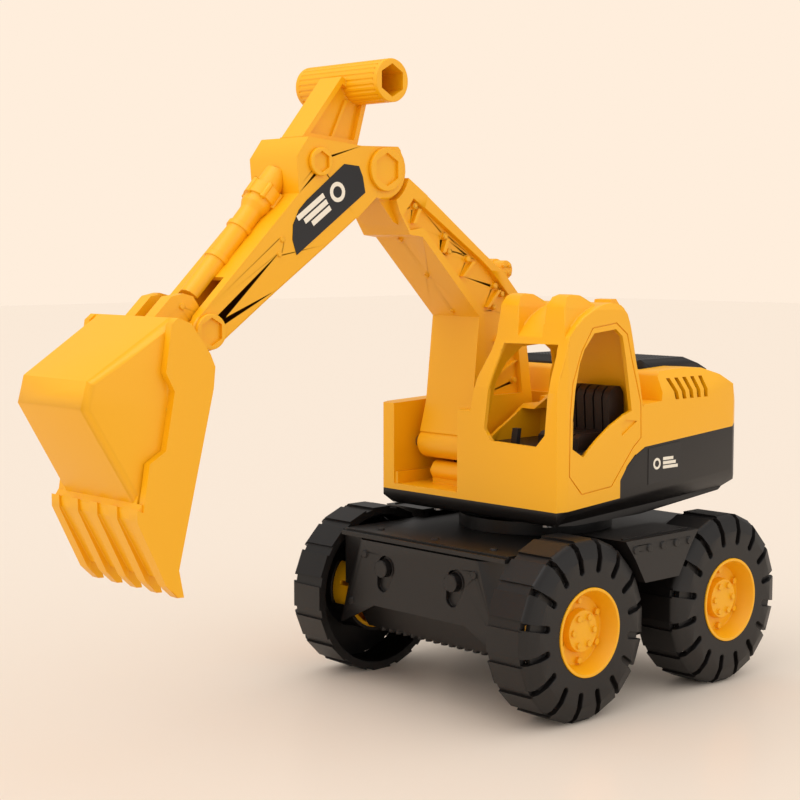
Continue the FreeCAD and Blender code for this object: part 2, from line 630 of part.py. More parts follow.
def seat():
    """A ribbed driver's seat: cushion and a backrest with upright channels and a rounded top."""
    floor = tub_z + 43.2
    back = [(-6.5, floor), (6, floor), (8, floor + 28), (6.5, floor + 32), (3, floor + 34.5), (-2, floor + 34.5), (-5, floor + 31)]
    left, right = 63.0, 33.0
    shape = joined(xz(back, right, left), xz([(3, floor), (34, floor), (34, floor + 7), (31, floor + 9), (3, floor + 9)],
                                             right, left))
    channels = []
    for k in range(4):
        y = right + 4.6 + 6.6 * k
        channels.append(block(6.2, 40, y, y + 1.2, floor + 7.6, floor + 12))
        channels.append(xz([(4.9, floor + 9.5), (12, floor + 9.5), (12, floor + 40), (-2, floor + 40),
                            (-2, floor + 33.4), (2.6, floor + 33.2), (5.4, floor + 31), (6.8, floor + 28)], y, y + 1.2))
    return shape.cut(channels)


def lever():
    floor = tub_z + 43.2
    return joined(block(44, 51, 24, 31, floor, floor + 2), xz([(46, floor + 2), (49, floor + 2), (47.4, floor + 11),
                                                               (44.6, floor + 11)], 25.2, 29.6))


def tub_patch():
    """A blank dark sticker on the tub's side wall."""
    x_low, x_high = -46.0, -16.0
    points = [(x_high, rim_z(x_high) + 3.5), (x_high, rim_z(x_high) + 24.5), (x_low, rim_z(x_low) + 24.5),
              (x_low, rim_z(x_low) + 3.5)]
    return xz(points, house_half, house_half + 0.25)


def house():
    save("tub", tub())
    save("tub_screws", group([pan_screw(x, y, underside(x) - 0.8).cut(tub()) for x, y in tub_screw_places()]))
    save("body_shell", body_shell())
    save("cab_shell", cab_shell())
    save("engine_cover", engine_cover())
    save("cab_floor", cab_floor())
    save("seat", seat())
    save("lever", lever())
    save("side_patch_left", tub_patch())
    save("side_patch_right", mirrored(tub_patch()))
    save("boom_pin", rod_y(boom_pivot.x, boom_pivot.z, boom_pin_radius, slot_right - shell_wall, slot_left + shell_wall))


# ---------------------------------------------------------------- boom

def boom_form(distance=0.0):
    """The boom's outline about its base pivot: a broad foot, a knee, and a long upper run."""
    points = [(7.2, 7.2), (2.0, 26.0), (-3.5, 77.0), (43.0, 123.8), (52.6, 125.0), (61.0, 138.0), (66.0, 152.0),
              (56.0, 158.0), (38.7, 146.9), (-8.4, 113.7), (-23.7, 103.6), (-36.8, 90.4), (-45.0, 59.5),
              (-50.6, 23.3), (-46.0, 4.0), (-30.0, -6.5), (-6.0, -7.0)]
    return inset(points, distance) if distance else points


def boom_back():
    """The strip of the boom's outline that the back cover closes, from the foot to the upper end."""
    return [(-48.6, 24.0), (-43.0, 59.0), (-35.0, 89.0), (-22.5, 102.0), (-7.5, 112.0), (34.0, 141.2),
            (30.0, 160.0), (-20.0, 130.0), (-60.0, 90.0), (-60.0, 20.0)]


def boom_knee_clear():
    """The space that the arm's round end turns in."""
    return rod_y(arm_pivot.x, arm_pivot.z, arm_end_radius + 2.4, boom_y - 40, boom_y + 40)


def tongue():
    """The boom's narrow top end, which runs between the arm's cheeks to the arm pivot."""
    reach, rise = boom_reach, boom_height
    form = [(50.0, 128.0), (60.0, 132.0), (reach + 8.5, rise - 6.0)] + arc(reach, rise, tongue_end, -32, 120, 12)
    form += [(50.0, 152.0), (44.0, 146.0)]
    return xz(shifted(form, boom_pivot), boom_y - tongue_half, boom_y + tongue_half)


def side_recess(hand):
    """The sunken band along one side, with its slanting ribs and rivets left standing."""
    band = [(58.0, 136.0), (52.5, 127.5), (42.0, 129.0), (-7.5, 80.0), (-9.5, 63.0), (-9.5, 30.0), (-41.0, 30.0),
            (-37.5, 58.0), (-30.5, 88.0), (-13.0, 104.5), (-4.0, 111.0), (41.0, 140.0), (50.0, 145.5)]
    face = boom_y + hand * boom_half
    low, high = sorted((face - hand * recess_depth, face + hand))
    pocket = xz(shifted(band, boom_pivot), low, high)
    keep = []
    ribs = [((44.0, 139.5), (48.0, 131.5)), ((21.5, 122.5), (24.5, 115.0)), ((0.0, 109.5), (8.5, 101.0)),
            ((-22.0, 92.5), (-12.5, 82.5)), ((-33.0, 70.0), (-20.0, 62.0)), ((-36.5, 50.0), (-22.0, 42.0))]
    low, high = sorted((face - hand * recess_depth, face - hand * 0.9))
    for (x1, z1), (x2, z2) in ribs:
        bar = xz(shifted([(x1 - 1.3, z1), (x1 + 1.3, z1), (x2 + 1.3, z2), (x2 - 1.3, z2)], boom_pivot), low, high)
        keep.append(bar)
    rivets = [(47.5, 141.3), (23.5, 124.3), (19.9, 115.5), (4.4, 111.1), (-18.6, 95.1), (-24.7, 90.1), (-18.0, 82.6),
              (-31.5, 78.0), (-33.5, 58.0), (-36.0, 38.0)]
    for x, z in rivets:
        low, high = sorted((face - hand * (recess_depth + 0.1), face - hand * (recess_depth - 2.6)))
        keep.append(rod_y(boom_pivot.x + x, boom_pivot.z + z, 1.7, low, high))
    return pocket.cut(keep)


def boom_pieces():
    half, wall, y = boom_half, boom_wall, boom_y
    outer = xz(shifted(boom_form(), boom_pivot), y - half, y + half)
    width = half - wall - recess_depth
    hollow = xz(shifted(boom_form(wall), boom_pivot), y - width, y + width)
    strip = xz(shifted(boom_back(), boom_pivot), y - width, y + width).common(
        xz(shifted(boom_form(), boom_pivot), y - width, y + width)).cut(hollow)
    foot = xz(shifted([(-60, 10), (-20, 2), (-14, -20), (-60, -20)], boom_pivot), y - width, y + width)
    shell = outer.cut([hollow, strip, foot.cut(rod_y(boom_pivot.x, boom_pivot.z, 12, -80, 20)), boom_knee_clear()])
    end = tongue()
    shell = shell.fuse(end).fuse(rod_y(boom_pivot.x, boom_pivot.z, barrel_radius, y - half - 0.4, y + half + 0.4))
    shell = shell.fuse([rod_y(boom_pivot.x, boom_pivot.z, barrel_radius - 1.4, y - half - 2.4, y + half + 2.4)])
    shell = shell.cut([side_recess(1), side_recess(-1)]).removeSplitter()
    under = V(1, 0, -1)
    under.normalize()
    for x in (-0.5, 21.0, 42.0):
        spot = boom_pivot + V(x, 0, x + 80.2) - under * 0.6
        shell = shell.fuse(Part.makeCylinder(1.5, 1.8, spot, under))
    shell = shell.cut(rod_y(boom_pivot.x, boom_pivot.z, boom_pin_radius + pin_clearance, -90, 20))
    shell = shell.cut(rod_y(arm_pivot.x, arm_pivot.z, arm_pin_radius + pin_clearance, -90, 20))
    pump_x, pump_z = boom_pivot.x - 28.0, boom_pivot.z + 103.5
    pump = [rod_y(pump_x - 1.0, pump_z + 1.0, 5.6, y - 17, y + 17), rod_y(pump_x - 1.0, pump_z + 1.0, 6.6, y - 9, y + 9)]
    pump.append(xz([(pump_x - 5, pump_z + 1), (pump_x + 3, pump_z + 5), (pump_x + 9, pump_z - 2),
                    (pump_x + 1, pump_z - 9)], y - 12, y + 12))
    for k in range(4):
        turn = math.radians(90 * k + 45)
        px, pz = pump_x - 1.0 + 3.4 * math.cos(turn), pump_z + 1.0 + 3.4 * math.sin(turn)
        pump.append(rod_y(px, pz, 1.1, y - 18.2, y + 18.2))
    cover = joined(strip, *[p.cut(outer) for p in pump])
    return shell, cover


def boom():
    shell, cover = boom_pieces()
    save("boom_shell", shell)
    save("boom_back_cover", cover)


# ---------------------------------------------------------------- arm

def arm_form(distance=0.0):
    """The arm's outline about its upper pivot."""
    rear = arc(0, 0, arm_end_radius, 292, 128, 12)
    end = arc(arm_reach, -arm_drop, bucket_end_radius, 45, -112, 10)
    points = [(17.1, 12.4), (55.1, 15.8), (63.4, 4.8), (62.1, -11.2)] + [(61.8, -14.3)] + end
    points += [(78.1, -66.9), (42.3, -42.5), (20.8, -27.4)] + rear
    return inset(points, distance) if distance else points


def arm_pieces():
    half, wall, y, pivot = arm_half, arm_wall, boom_y, arm_pivot
    outer = xz(shifted(arm_form(), pivot), y - half, y + half)
    width = tongue_half + cheek_gap
    hollow = xz(shifted(arm_form(wall), pivot), y - width, y + width)
    low = [(12.0, -19.5), (20.8, -29.0), (42.3, -45.0), (78.1, -69.5), (104.0, -88.0), (112.0, -76.0), (80.0, -56.0),
           (24.0, -22.0)]
    strip = xz(shifted(low, pivot), y - width, y + width).common(outer).cut(hollow)
    turn = rod_y(pivot.x, pivot.z, arm_end_radius + 6, y - width, y + width)
    back = xz(shifted([(-30, 9), (2, 9), (8, -10), (18, -30), (-30, -30)], pivot), y - width, y + width)
    fork = xz(shifted([(106, -60), (120, -45), (150, -70), (150, -120), (100, -120), (96, -82)], pivot),
              y - width, y + width)
    shell = outer.cut([hollow, strip, back, fork, turn.common(xz(shifted([(-30, 9.5), (4, 9.5), (14, 6), (14, -30),
                                                                   (-30, -30)], pivot), y - width, y + width))])
    shell = shell.cut(strip)
    bores = [rod_y(pivot.x, pivot.z, arm_pin_radius, -90, 20),
             rod_y(bucket_pivot.x, bucket_pivot.z, bucket_pin_radius, -90, 20),
             rod_y(pivot.x + handle_pin_x, pivot.z + handle_pin_z, 3.0, -90, 20)]
    for x, z in ((73.5, -38.8), (75.5, -46.5)):
        shell = shell.fuse([rod_y(pivot.x + x, pivot.z + z, 1.5, y + half - 0.5, y + half + 0.8),
                            rod_y(pivot.x + x, pivot.z + z, 1.5, y - half - 0.8, y - half + 0.5)])
    return shell.removeSplitter().cut(bores), strip


def pin(place, shaft_radius, head_radius, height, socket):
    """A headed pin with a hexagonal recess, and its matching cap for the other end."""
    y, half = boom_y, arm_half
    head = rod_y(place.x, place.z, head_radius, y + half, y + half + height)
    head = head.cut(hexagon(place.x, place.z, socket, y + half + height - 1.8, y + half + height + 1))
    shaft = rod_y(place.x, place.z, shaft_radius, y - half, y + half + 0.1)
    cap = rod_y(place.x, place.z, head_radius, y - half - height, y - half)
    cap = cap.cut(hexagon(place.x, place.z, socket, y - half - height - 1, y - half - height + 1.8))
    return head.fuse(shaft).removeSplitter(), cap


def arm_ram():
    """The dummy ram along the arm's upper face: barrel, bolted collar, and a rod with two rings."""
    start, end = V(60.0, 0, -4.0), V(119.0, 0, -69.0)
    line = end - start
    line.normalize()
    base = arm_pivot + start

    def tube(radius, low, high):
        return Part.makeCylinder(radius, high - low, base + line * low, line)

    length = (end - start).Length
    parts = [tube(7.4, 0, 14), tube(9.6, 12, 20), tube(8.2, 20, 24), tube(6.3, 24, length), tube(7.2, 38, 41),
             tube(7.2, 60, 63), Part.makeCone(8.2, 6.3, 4, base + line * 24, line)]
    side = V(0, 1, 0)
    other = line.cross(side)
    for k in range(6):
        turn = math.radians(60 * k + 30)
        spot = base + side * (9.0 * math.cos(turn)) + other * (9.0 * math.sin(turn))
        parts.append(Part.makeCylinder(1.5, 9.6, spot + line * 11.2, line))
    return joined(*parts)


def handle():
    """The grab handle: a webbed bracket and a fluted crossbar with a hexagonal socket in each end."""
    y, half, pivot = boom_y + grip_shift, bracket_half, arm_pivot
    bracket = [(13.0, 12.5), (52.5, 16.0), (24.0, 50.0), (12.0, 44.0), (5.5, 38.0)]
    body = xz(shifted(bracket, pivot), y - half, y + half)
    pocket = inset([(13.0, 12.5), (52.5, 16.0), (24.0, 50.0), (5.5, 38.0)], 3.0)
    pockets = []
    for hand in (-1, 1):
        low, high = sorted((y + hand * (half - 3.2), y + hand * (half + 1)))
        rib = xz(shifted([(30.0, 14.0), (32.0, 14.0), (20.3, 37.5), (18.3, 37.0)], pivot), low, high)
        low_rib, high_rib = sorted((y + hand * (half - 1.6), y + hand * (half + 1)))
        rib = rib.cut(block(pivot.x - 60, pivot.x + 90, low_rib, high_rib, pivot.z - 60, pivot.z + 90))
        pockets.append(xz(shifted(pocket, pivot), low, high).cut(rib))
    body = body.cut(pockets)
    cx, cz = pivot.x + grip_x, pivot.z + grip_z
    bar = rod_y(cx, cz, grip_radius, y - grip_length / 2, y + grip_length / 2)
    flutes = []
    for k in range(flute_count):
        turn = 2 * math.pi * k / flute_count
        px, pz = cx + (grip_radius + 0.7) * math.cos(turn), cz + (grip_radius + 0.7) * math.sin(turn)
        flutes.append(rod_y(px, pz, 1.15, y - grip_length / 2 + 3.0, y + grip_length / 2 - 3.0))
    bar = bar.cut(flutes)
    tang = xz(shifted([(40.0, 16.5), (53.0, 16.5), (53.0, -4.0), (41.0, -4.0)], pivot), y - half, y + half)
    body = joined(body, bar, tang)
    ends = []
    for hand in (-1, 1):
        low, high = sorted((y + hand * (grip_length / 2 - grip_socket), y + hand * (grip_length / 2 + 1)))
        ends.append(hexagon(cx, cz, grip_hex, low, high))
    return body.cut(ends)


def arm_decal():
    points = [(30.0, 2.1), (19.3, 1.3), (16.5, -4.5), (14.7, -13.0), (63.8, -47.1), (66.6, -39.0), (66.2, -31.0),
              (62.2, -23.2), (56.7, -17.9)]
    return xz(shifted(points, arm_pivot), boom_y + arm_half, boom_y + arm_half + 0.25)


def arm():
    shell, cover = arm_pieces()
    grip = handle()
    handle_place = arm_pivot + V(handle_pin_x, 0, handle_pin_z)
    slot = xz(shifted([(40.0, 10.0), (53.0, 10.0), (53.0, 20.0), (40.0, 20.0)], arm_pivot),
              boom_y + grip_shift - bracket_half, boom_y + grip_shift + bracket_half)
    shell = shell.cut(slot).cut(grip)
    ram = arm_ram().cut(xz(shifted(arm_form(), arm_pivot), boom_y - arm_half, boom_y + arm_half))
    save("arm_shell", shell)
    save("arm_under_cover", cover)
    save("arm_ram", ram)
    save("handle", grip.cut(rod_y(handle_place.x, handle_place.z, 3.0, -90, 20)))
    pins = (("arm_pin", arm_pivot, arm_pin_radius, boss_radius, 18.6),
            ("handle_pin", handle_place, 3.0, small_boss_radius, 11.6),
            ("bucket_pin", bucket_pivot, bucket_pin_radius, 9.2, 14.6))
    for name, place, shaft, head, socket in pins:
        whole, cap = pin(place, shaft, head, boss_height, socket)
        save(name, whole)
        save(name + "_cap", cap)
    save("arm_decal_left", arm_decal())
    save("arm_decal_right", mirrored(arm_decal(), boom_y))


# ---------------------------------------------------------------- bucket

def bucket_body(distance=0.0):
    points = [(32.8, 8.5), (79.2, -20.7), (82.9, -34.3), (54.8, -81.5), (56.8, -89.0), (34.8, -117.0), (11.5, -27.3),
              (10.4, -16.5), (25.0, 5.6)]
    return inset(points, distance) if distance else points


def bucket_taper(distance):
    """The body seen from above: its sides draw in towards the back."""
    near, far = 36.2 - distance, 31.7 - distance
    return [(bucket_pivot.x - 6, boom_y - near), (bucket_pivot.x + 86, boom_y - far),
            (bucket_pivot.x + 86, boom_y + far), (bucket_pivot.x - 6, boom_y + near)]


def side_edges(body, points):
    """The edges of a body that run between these points in the side view."""
    def near(vertex):
        return any(math.hypot(vertex.X - x, vertex.Z - z) < 0.05 for x, z in points)

    def along(edge):
        ends = [v.Point for v in edge.Vertexes]
        return math.hypot(ends[0].x - ends[1].x, ends[0].z - ends[1].z) > 1.0

    return [e for e in body.Edges if len(e.Vertexes) == 2 and all(near(v) for v in e.Vertexes) and along(e)]


def bucket_shell():
    """The bucket: a tapering tub open towards the machine, thicker side bands, five teeth and two ears."""
    y, wall, pivot = boom_y, bucket_wall, bucket_pivot
    low, high = pivot.z - 140, pivot.z + 40
    outer = xz(shifted(bucket_body(), pivot), y - 60, y + 60).common(xy(bucket_taper(0), low, high))
    outer = outer.makeChamfer(bucket_chamfer, side_edges(outer, shifted(bucket_body()[:4], pivot)))
    inner = xz(shifted(bucket_body(wall), pivot), y - 60, y + 60).common(xy(bucket_taper(wall), low, high))
    mouth = [(27.8, 4.4), (30.4, 5.9), (34.8, 3.0), (23.8, -59.0), (35.4, -113.0), (32.8, -118.0), (3.8, -109.0),
             (-1.2, -9.0)]
    mouth = xz(shifted(mouth, pivot), y - 60, y + 60).common(xy(bucket_taper(wall), low, high))
    shell = outer.cut([inner, mouth])
    band = [(32.8, 8.5), (36.7, 5.4), (40.2, -18.2), (35.2, -27.5), (40.8, -56.4), (50.5, -62.0), (55.3, -89.1),
            (41.2, -123.0), (34.7, -129.9), (31.1, -130.4), (33.9, -116.4), (11.5, -27.3), (10.4, -16.5), (13.3, -9.9),
            (25.0, 5.6)]
    for hand in (-1, 1):
        low_y, high_y = sorted((y + hand * (bucket_half - 4.6), y + hand * bucket_half))
        shell = shell.fuse(xz(shifted(band, pivot), low_y, high_y))
    lip = [(54.8, -81.5), (57.2, -85.0), (56.6, -90.0), (39.8, -120.5), (36.3, -119.5), (50.8, -89.0)]
    shell = shell.fuse(xz(shifted(lip, pivot), y - bucket_half + 1, y + bucket_half - 1))
    bar = [(25.0, 5.6), (32.8, 8.5), (35.2, 3.6), (27.8, 0.8)]
    shell = shell.fuse(xz(shifted(bar, pivot), y - bucket_half + 1, y + bucket_half - 1))
    tooth = [(58.2, -83.6), (58.2, -90.0), (41.6, -123.6), (34.8, -130.2), (31.0, -130.6), (34.2, -120.0), (51.8, -87.0)]
    for k in range(tooth_count):
        centre = y + (k - (tooth_count - 1) / 2) * tooth_pitch
        root = xz(shifted(tooth, pivot), centre - tooth_half, centre + tooth_half)
        tip = [(pivot.x + 64, centre - tooth_half), (pivot.x + 40, centre - tooth_half), (pivot.x + 31, centre - 2.2),
               (pivot.x + 24, centre - 1.5), (pivot.x + 24, centre + 1.5), (pivot.x + 31, centre + 2.2),
               (pivot.x + 40, centre + tooth_half), (pivot.x + 64, centre + tooth_half)]
        shell = shell.fuse(root.common(xy(tip, low, high)))
    ear = arc(0, 0, 8.0, 240, 110, 8) + [(5.0, 18.0), (11.0, 19.5), (18.5, 18.0), (30.0, 7.0), (27.0, 0.0), (12.0, -7.0)]
    for hand in (-1, 1):
        low_y, high_y = sorted((y + hand * ear_gap, y + hand * (ear_gap + ear_thickness)))
        shell = shell.fuse(xz(shifted(ear, pivot), low_y, high_y))
        low_y, high_y = sorted((y + hand * ear_nose, y + hand * (ear_gap + ear_thickness)))
        shell = shell.fuse(xz(shifted([(13.0, 18.8), (18.5, 18.0), (30.0, 7.0), (27.0, 2.0), (13.0, 8.0)], pivot),
                              low_y, high_y))
        low_y, high_y = sorted((y + hand * (ear_gap + ear_thickness - 0.5), y + hand * (ear_gap + ear_thickness + 0.9)))
        shell = shell.fuse([rod_y(pivot.x + 12.0, pivot.z + 13.0, 1.6, low_y, high_y)])
    shell = shell.removeSplitter()
    return shell.cut(rod_y(pivot.x, pivot.z, bucket_pin_radius + pin_clearance, -90, 20))


os.makedirs("parts", exist_ok=True)
wheels()
chassis()
house()
boom()
arm()
save("bucket_shell", bucket_shell())
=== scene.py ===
"""A sandbox toy excavator in moulded plastic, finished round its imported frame. Sizes are metres, with
MM for those that are easier to read in millimetres. +X is the digging end, +Y the cab side, +Z up."""

import json
import math

import bmesh
import bpy
from bpy.props import FloatProperty, FloatVectorProperty, PointerProperty
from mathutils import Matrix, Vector
from mathutils.kdtree import KDTree


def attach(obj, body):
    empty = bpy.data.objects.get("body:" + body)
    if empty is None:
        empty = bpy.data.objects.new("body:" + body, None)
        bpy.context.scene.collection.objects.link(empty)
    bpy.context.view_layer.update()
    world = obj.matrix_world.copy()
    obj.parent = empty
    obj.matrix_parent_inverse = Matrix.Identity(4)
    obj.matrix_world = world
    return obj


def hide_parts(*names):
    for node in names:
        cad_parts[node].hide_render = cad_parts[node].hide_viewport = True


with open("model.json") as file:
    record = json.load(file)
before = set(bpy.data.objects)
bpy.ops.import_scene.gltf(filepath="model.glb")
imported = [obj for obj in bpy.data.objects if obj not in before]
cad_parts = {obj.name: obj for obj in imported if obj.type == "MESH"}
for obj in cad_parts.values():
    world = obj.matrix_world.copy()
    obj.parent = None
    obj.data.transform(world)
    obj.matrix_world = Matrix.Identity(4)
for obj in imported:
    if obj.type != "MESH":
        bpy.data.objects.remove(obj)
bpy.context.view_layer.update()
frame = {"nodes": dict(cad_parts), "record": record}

bl_info = {
    "name": "Toy excavator",
    "version": (1, 0, 0),
    "blender": (4, 5, 0),
    "location": "3D View > Sidebar > Excavator",
    "description": "Finishes a sandbox toy excavator round its packed frame",
    "category": "Object",
}

MM = 0.001
BODY_OF = {node: body for body, nodes in frame["record"]["behaviour"]["bodies"].items() for node in nodes}
SLOT_OF = {part["node"]: part["material_slot"] for part in frame["record"]["subparts"]}
MERGE = 0.004 * MM          # points closer than this are one point
FLAT = math.radians(0.6)    # faces that differ by less than this are one flat area
SHARP = math.radians(50)    # edges that turn more than this stay sharp in the shading
SAME_RUN = 0.64             # cosine of the most that an edge may turn and still carry on its run
REACH = 2.5                 # how many roundings away another feature still takes room
SHARE_OF_ROOM = 0.4         # how much of the room beside an edge its rounding may take
LEAST_SHARE = 0.12          # a rounding smaller than this share of the width is left out
JUNCTION = 0.45             # gap over distance from a shared end, above which two runs only part there

# The camera: the point it looks at, its direction and distance, and its lens
AIM = Vector((116.97, 5.52, 173.19)) * MM
AZIMUTH, ELEVATION = math.radians(136.86), math.radians(5.14)
DISTANCE = 930.99 * MM
LENS, SENSOR = 76.13, 36.0
FLOOR_HALF = 6.0

WHEELS = [end + "_" + side for end in ("front", "rear") for side in ("left", "right")]


def srgb(code):
    """A linear colour from an sRGB hex value."""
    parts = [int(code[i:i + 2], 16) / 255 for i in (0, 2, 4)]
    return tuple(p / 12.92 if p <= 0.04045 else ((p + 0.055) / 1.055) ** 2.4 for p in parts)


# ---------------------------------------------------------------- settings

class ExcavatorSizes(bpy.types.PropertyGroup):
    """Sizes that finish the moulded pieces."""
    edge_round: FloatProperty(name="Edge rounding", description="Rounding of the large mouldings' edges",
                              default=0.7 * MM, subtype="DISTANCE", unit="LENGTH")
    fine_round: FloatProperty(name="Fine rounding", description="Rounding of the small pieces' edges",
                              default=0.3 * MM, subtype="DISTANCE", unit="LENGTH")
    tyre_round: FloatProperty(name="Tyre rounding", description="Rounding of the tyres' lugs and slots",
                              default=0.5 * MM, subtype="DISTANCE", unit="LENGTH")
    mesh_pitch: FloatProperty(name="Lid mesh pitch", description="Spacing of the raised diamonds on the lid",
                              default=2.6 * MM, subtype="DISTANCE", unit="LENGTH")
    mesh_rise: FloatProperty(name="Lid mesh height", description="How far the lid's diamonds stand up",
                             default=0.4 * MM, subtype="DISTANCE", unit="LENGTH")


class ExcavatorColours(bpy.types.PropertyGroup):
    """Colours of the plastics and the steel."""
    yellow: FloatVectorProperty(name="Yellow", description="Yellow mouldings", subtype="COLOR",
                                default=srgb("F2AC00"), min=0, max=1)
    black: FloatVectorProperty(name="Black", description="Tub, chassis and lid", subtype="COLOR",
                               default=srgb("171413"), min=0, max=1)
    tyre: FloatVectorProperty(name="Tyre", description="Hollow moulded tyres", subtype="COLOR",
                              default=srgb("141110"), min=0, max=1)
    seat: FloatVectorProperty(name="Seat", description="Brown-black seat", subtype="COLOR",
                              default=srgb("221814"), min=0, max=1)
    steel: FloatVectorProperty(name="Steel", description="Axles and screws", subtype="COLOR",
                               default=srgb("B9BABC"), min=0, max=1)
    film: FloatVectorProperty(name="Film", description="Dark sticker film", subtype="COLOR",
                              default=srgb("171516"), min=0, max=1)
    mark: FloatVectorProperty(name="Mark", description="Pale print on the sticker film", subtype="COLOR",
                              default=srgb("EDE3CF"), min=0, max=1)
    paper: FloatVectorProperty(name="Paper", description="Pale studio background", subtype="COLOR",
                               default=srgb("FFEEDC"), min=0, max=1)


def sizes():
    return bpy.context.scene.excavator_sizes


def colours():
    return bpy.context.scene.excavator_colours


# ---------------------------------------------------------------- materials

def add_node(tree, kind, settings=None, links=None):
    """Adds a node, sets its properties and sockets, and links its inputs from other sockets."""
    node = tree.nodes.new(kind)
    for key, value in (settings or {}).items():
        if key in node.inputs:
            node.inputs[key].default_value = value
        else:
            setattr(node, key, value)
    for key, source in (links or {}).items():
        tree.links.new(source, node.inputs[key])
    return node


def moulded_plastic(name, colour, roughness, grain, bump, coat=0.0):
    """Injection-moulded plastic: a satin skin with faint sink marks and a fine, even grain."""
    material = bpy.data.materials.new(name)
    material.use_nodes = True
    tree = material.node_tree
    shader = tree.nodes["Principled BSDF"]
    shader.inputs["Base Color"].default_value = (*colour, 1)
    shader.inputs["IOR"].default_value = 1.49
    shader.inputs["Coat Weight"].default_value = coat
    shader.inputs["Coat Roughness"].default_value = 0.25
    place = add_node(tree, "ShaderNodeTexCoord").outputs["Object"]
    sink = add_node(tree, "ShaderNodeTexNoise", {"Scale": 1 / (45 * MM), "Detail": 1.0}, {"Vector": place})
    fine = add_node(tree, "ShaderNodeTexNoise", {"Scale": 1 / (grain * MM), "Detail": 2.0}, {"Vector": place})
    rough = add_node(tree, "ShaderNodeMapRange", {"To Min": roughness - 0.05, "To Max": roughness + 0.06},
                     {"Value": fine.outputs["Fac"]})
    tree.links.new(rough.outputs["Result"], shader.inputs["Roughness"])
    wave = add_node(tree, "ShaderNodeBump", {"Strength": 0.25, "Distance": 0.5 * MM},
                    {"Height": sink.outputs["Fac"]})
    skin = add_node(tree, "ShaderNodeBump", {"Strength": bump, "Distance": 0.05 * MM},
                    {"Height": fine.outputs["Fac"], "Normal": wave.outputs["Normal"]})
    tree.links.new(skin.outputs["Normal"], shader.inputs["Normal"])
    return material


def drawn_steel(name, colour):
    """Drawn and plated steel rod: a bright metal with a slight cloudiness."""
    material = bpy.data.materials.new(name)
    material.use_nodes = True
    tree = material.node_tree
    shader = tree.nodes["Principled BSDF"]
    shader.inputs["Base Color"].default_value = (*colour, 1)
    shader.inputs["Metallic"].default_value = 1.0
    place = add_node(tree, "ShaderNodeTexCoord").outputs["Object"]
    cloud = add_node(tree, "ShaderNodeTexNoise", {"Scale": 1 / (3 * MM)}, {"Vector": place})
    rough = add_node(tree, "ShaderNodeMapRange", {"To Min": 0.25, "To Max": 0.42},
                     {"Value": cloud.outputs["Fac"]})
    tree.links.new(rough.outputs["Result"], shader.inputs["Roughness"])
    return material


def materials():
    """The finishes by the record's slot names, made once."""
    if "Yellow polypropylene" not in bpy.data.materials:
        ink = colours()
        moulded_plastic("Yellow polypropylene", ink.yellow, 0.40, 0.5, 0.10)
        moulded_plastic("Black polypropylene", ink.black, 0.42, 0.5, 0.20)
        moulded_plastic("Black blow-moulded tyre", ink.tyre, 0.46, 0.6, 0.30)
        moulded_plastic("Brown-black seat moulding", ink.seat, 0.48, 0.6, 0.25)
        moulded_plastic("Printed vinyl film", ink.film, 0.30, 0.8, 0.05)
        moulded_plastic("Pale printed ink", ink.mark, 0.45, 0.8, 0.05)
        drawn_steel("Plated steel", ink.steel)
    names = {"yellow_plastic": "Yellow polypropylene", "black_plastic": "Black polypropylene",
             "tyre_plastic": "Black blow-moulded tyre", "seat_plastic": "Brown-black seat moulding",
             "decal": "Printed vinyl film", "steel": "Plated steel", "mark": "Pale printed ink"}
    return {slot: bpy.data.materials[name] for slot, name in names.items()}


# ---------------------------------------------------------------- mesh helpers

def linked(name, mesh):
    piece = bpy.data.objects.new(name, mesh)
    bpy.context.scene.collection.objects.link(piece)
    return piece


def evaluated(piece):
    """The piece's mesh with its modifiers worked in, and the modifiers gone."""
    graph = bpy.context.evaluated_depsgraph_get()
    mesh = bpy.data.meshes.new_from_object(piece.evaluated_get(graph))
    piece.modifiers.clear()
    piece.data = mesh
    return piece


def merged_copy(node):
    """One CAD node's mesh as a bmesh, with doubles merged and flat areas cleared of stray points."""
    whole = bmesh.new()
    whole.from_mesh(frame["nodes"][node].data)
    bmesh.ops.remove_doubles(whole, verts=whole.verts, dist=MERGE)
    bmesh.ops.dissolve_limit(whole, angle_limit=FLAT, verts=whole.verts, edges=whole.edges)
    bmesh.ops.triangulate(whole, faces=[face for face in whole.faces if len(face.verts) > 4])
    return whole


def feature_runs(whole, angle):
    """The edges that turn more than the angle, and the smooth run that each belongs to."""
    least = math.radians(angle)
    edges = [edge for edge in whole.edges if len(edge.link_faces) == 2 and edge.calc_face_angle(0.0) > least]
    parent = {edge.index: edge.index for edge in edges}

    def root(i):
        while parent[i] != i:
            i = parent[i]
        return i

    for vert in whole.verts:
        around = [edge for edge in vert.link_edges if edge.index in parent]
        for i, first in enumerate(around):
            for second in around[i + 1:]:
                ahead = (first.other_vert(vert).co - vert.co).normalized()
                behind = (vert.co - second.other_vert(vert).co).normalized()
                if ahead.dot(behind) > SAME_RUN:
                    parent[root(first.index)] = root(second.index)
    return edges, {edge.index: root(edge.index) for edge in edges}


def points_along(edges, spacing, most=60):
    """Points along each edge and at its ends, each with its edge."""
    points = []
    for edge in edges:
        start, end = (vert.co for vert in edge.verts)
        steps = max(1, min(most, int(edge.calc_length() / spacing)))
        points += [(start.lerp(end, (k + 0.5) / steps), edge) for k in range(steps)]
        points += [(vert.co.copy(), edge) for vert in edge.verts]
    return points


def junctions(whole, run):
    """The places where two runs meet, by the pair of runs."""
    places = {}
    for vert in whole.verts:
        runs = {run[edge.index] for edge in vert.link_edges if edge.index in run}
        for first in runs:
            for second in runs - {first}:
                places.setdefault((first, second), []).append(vert.co)
    return places


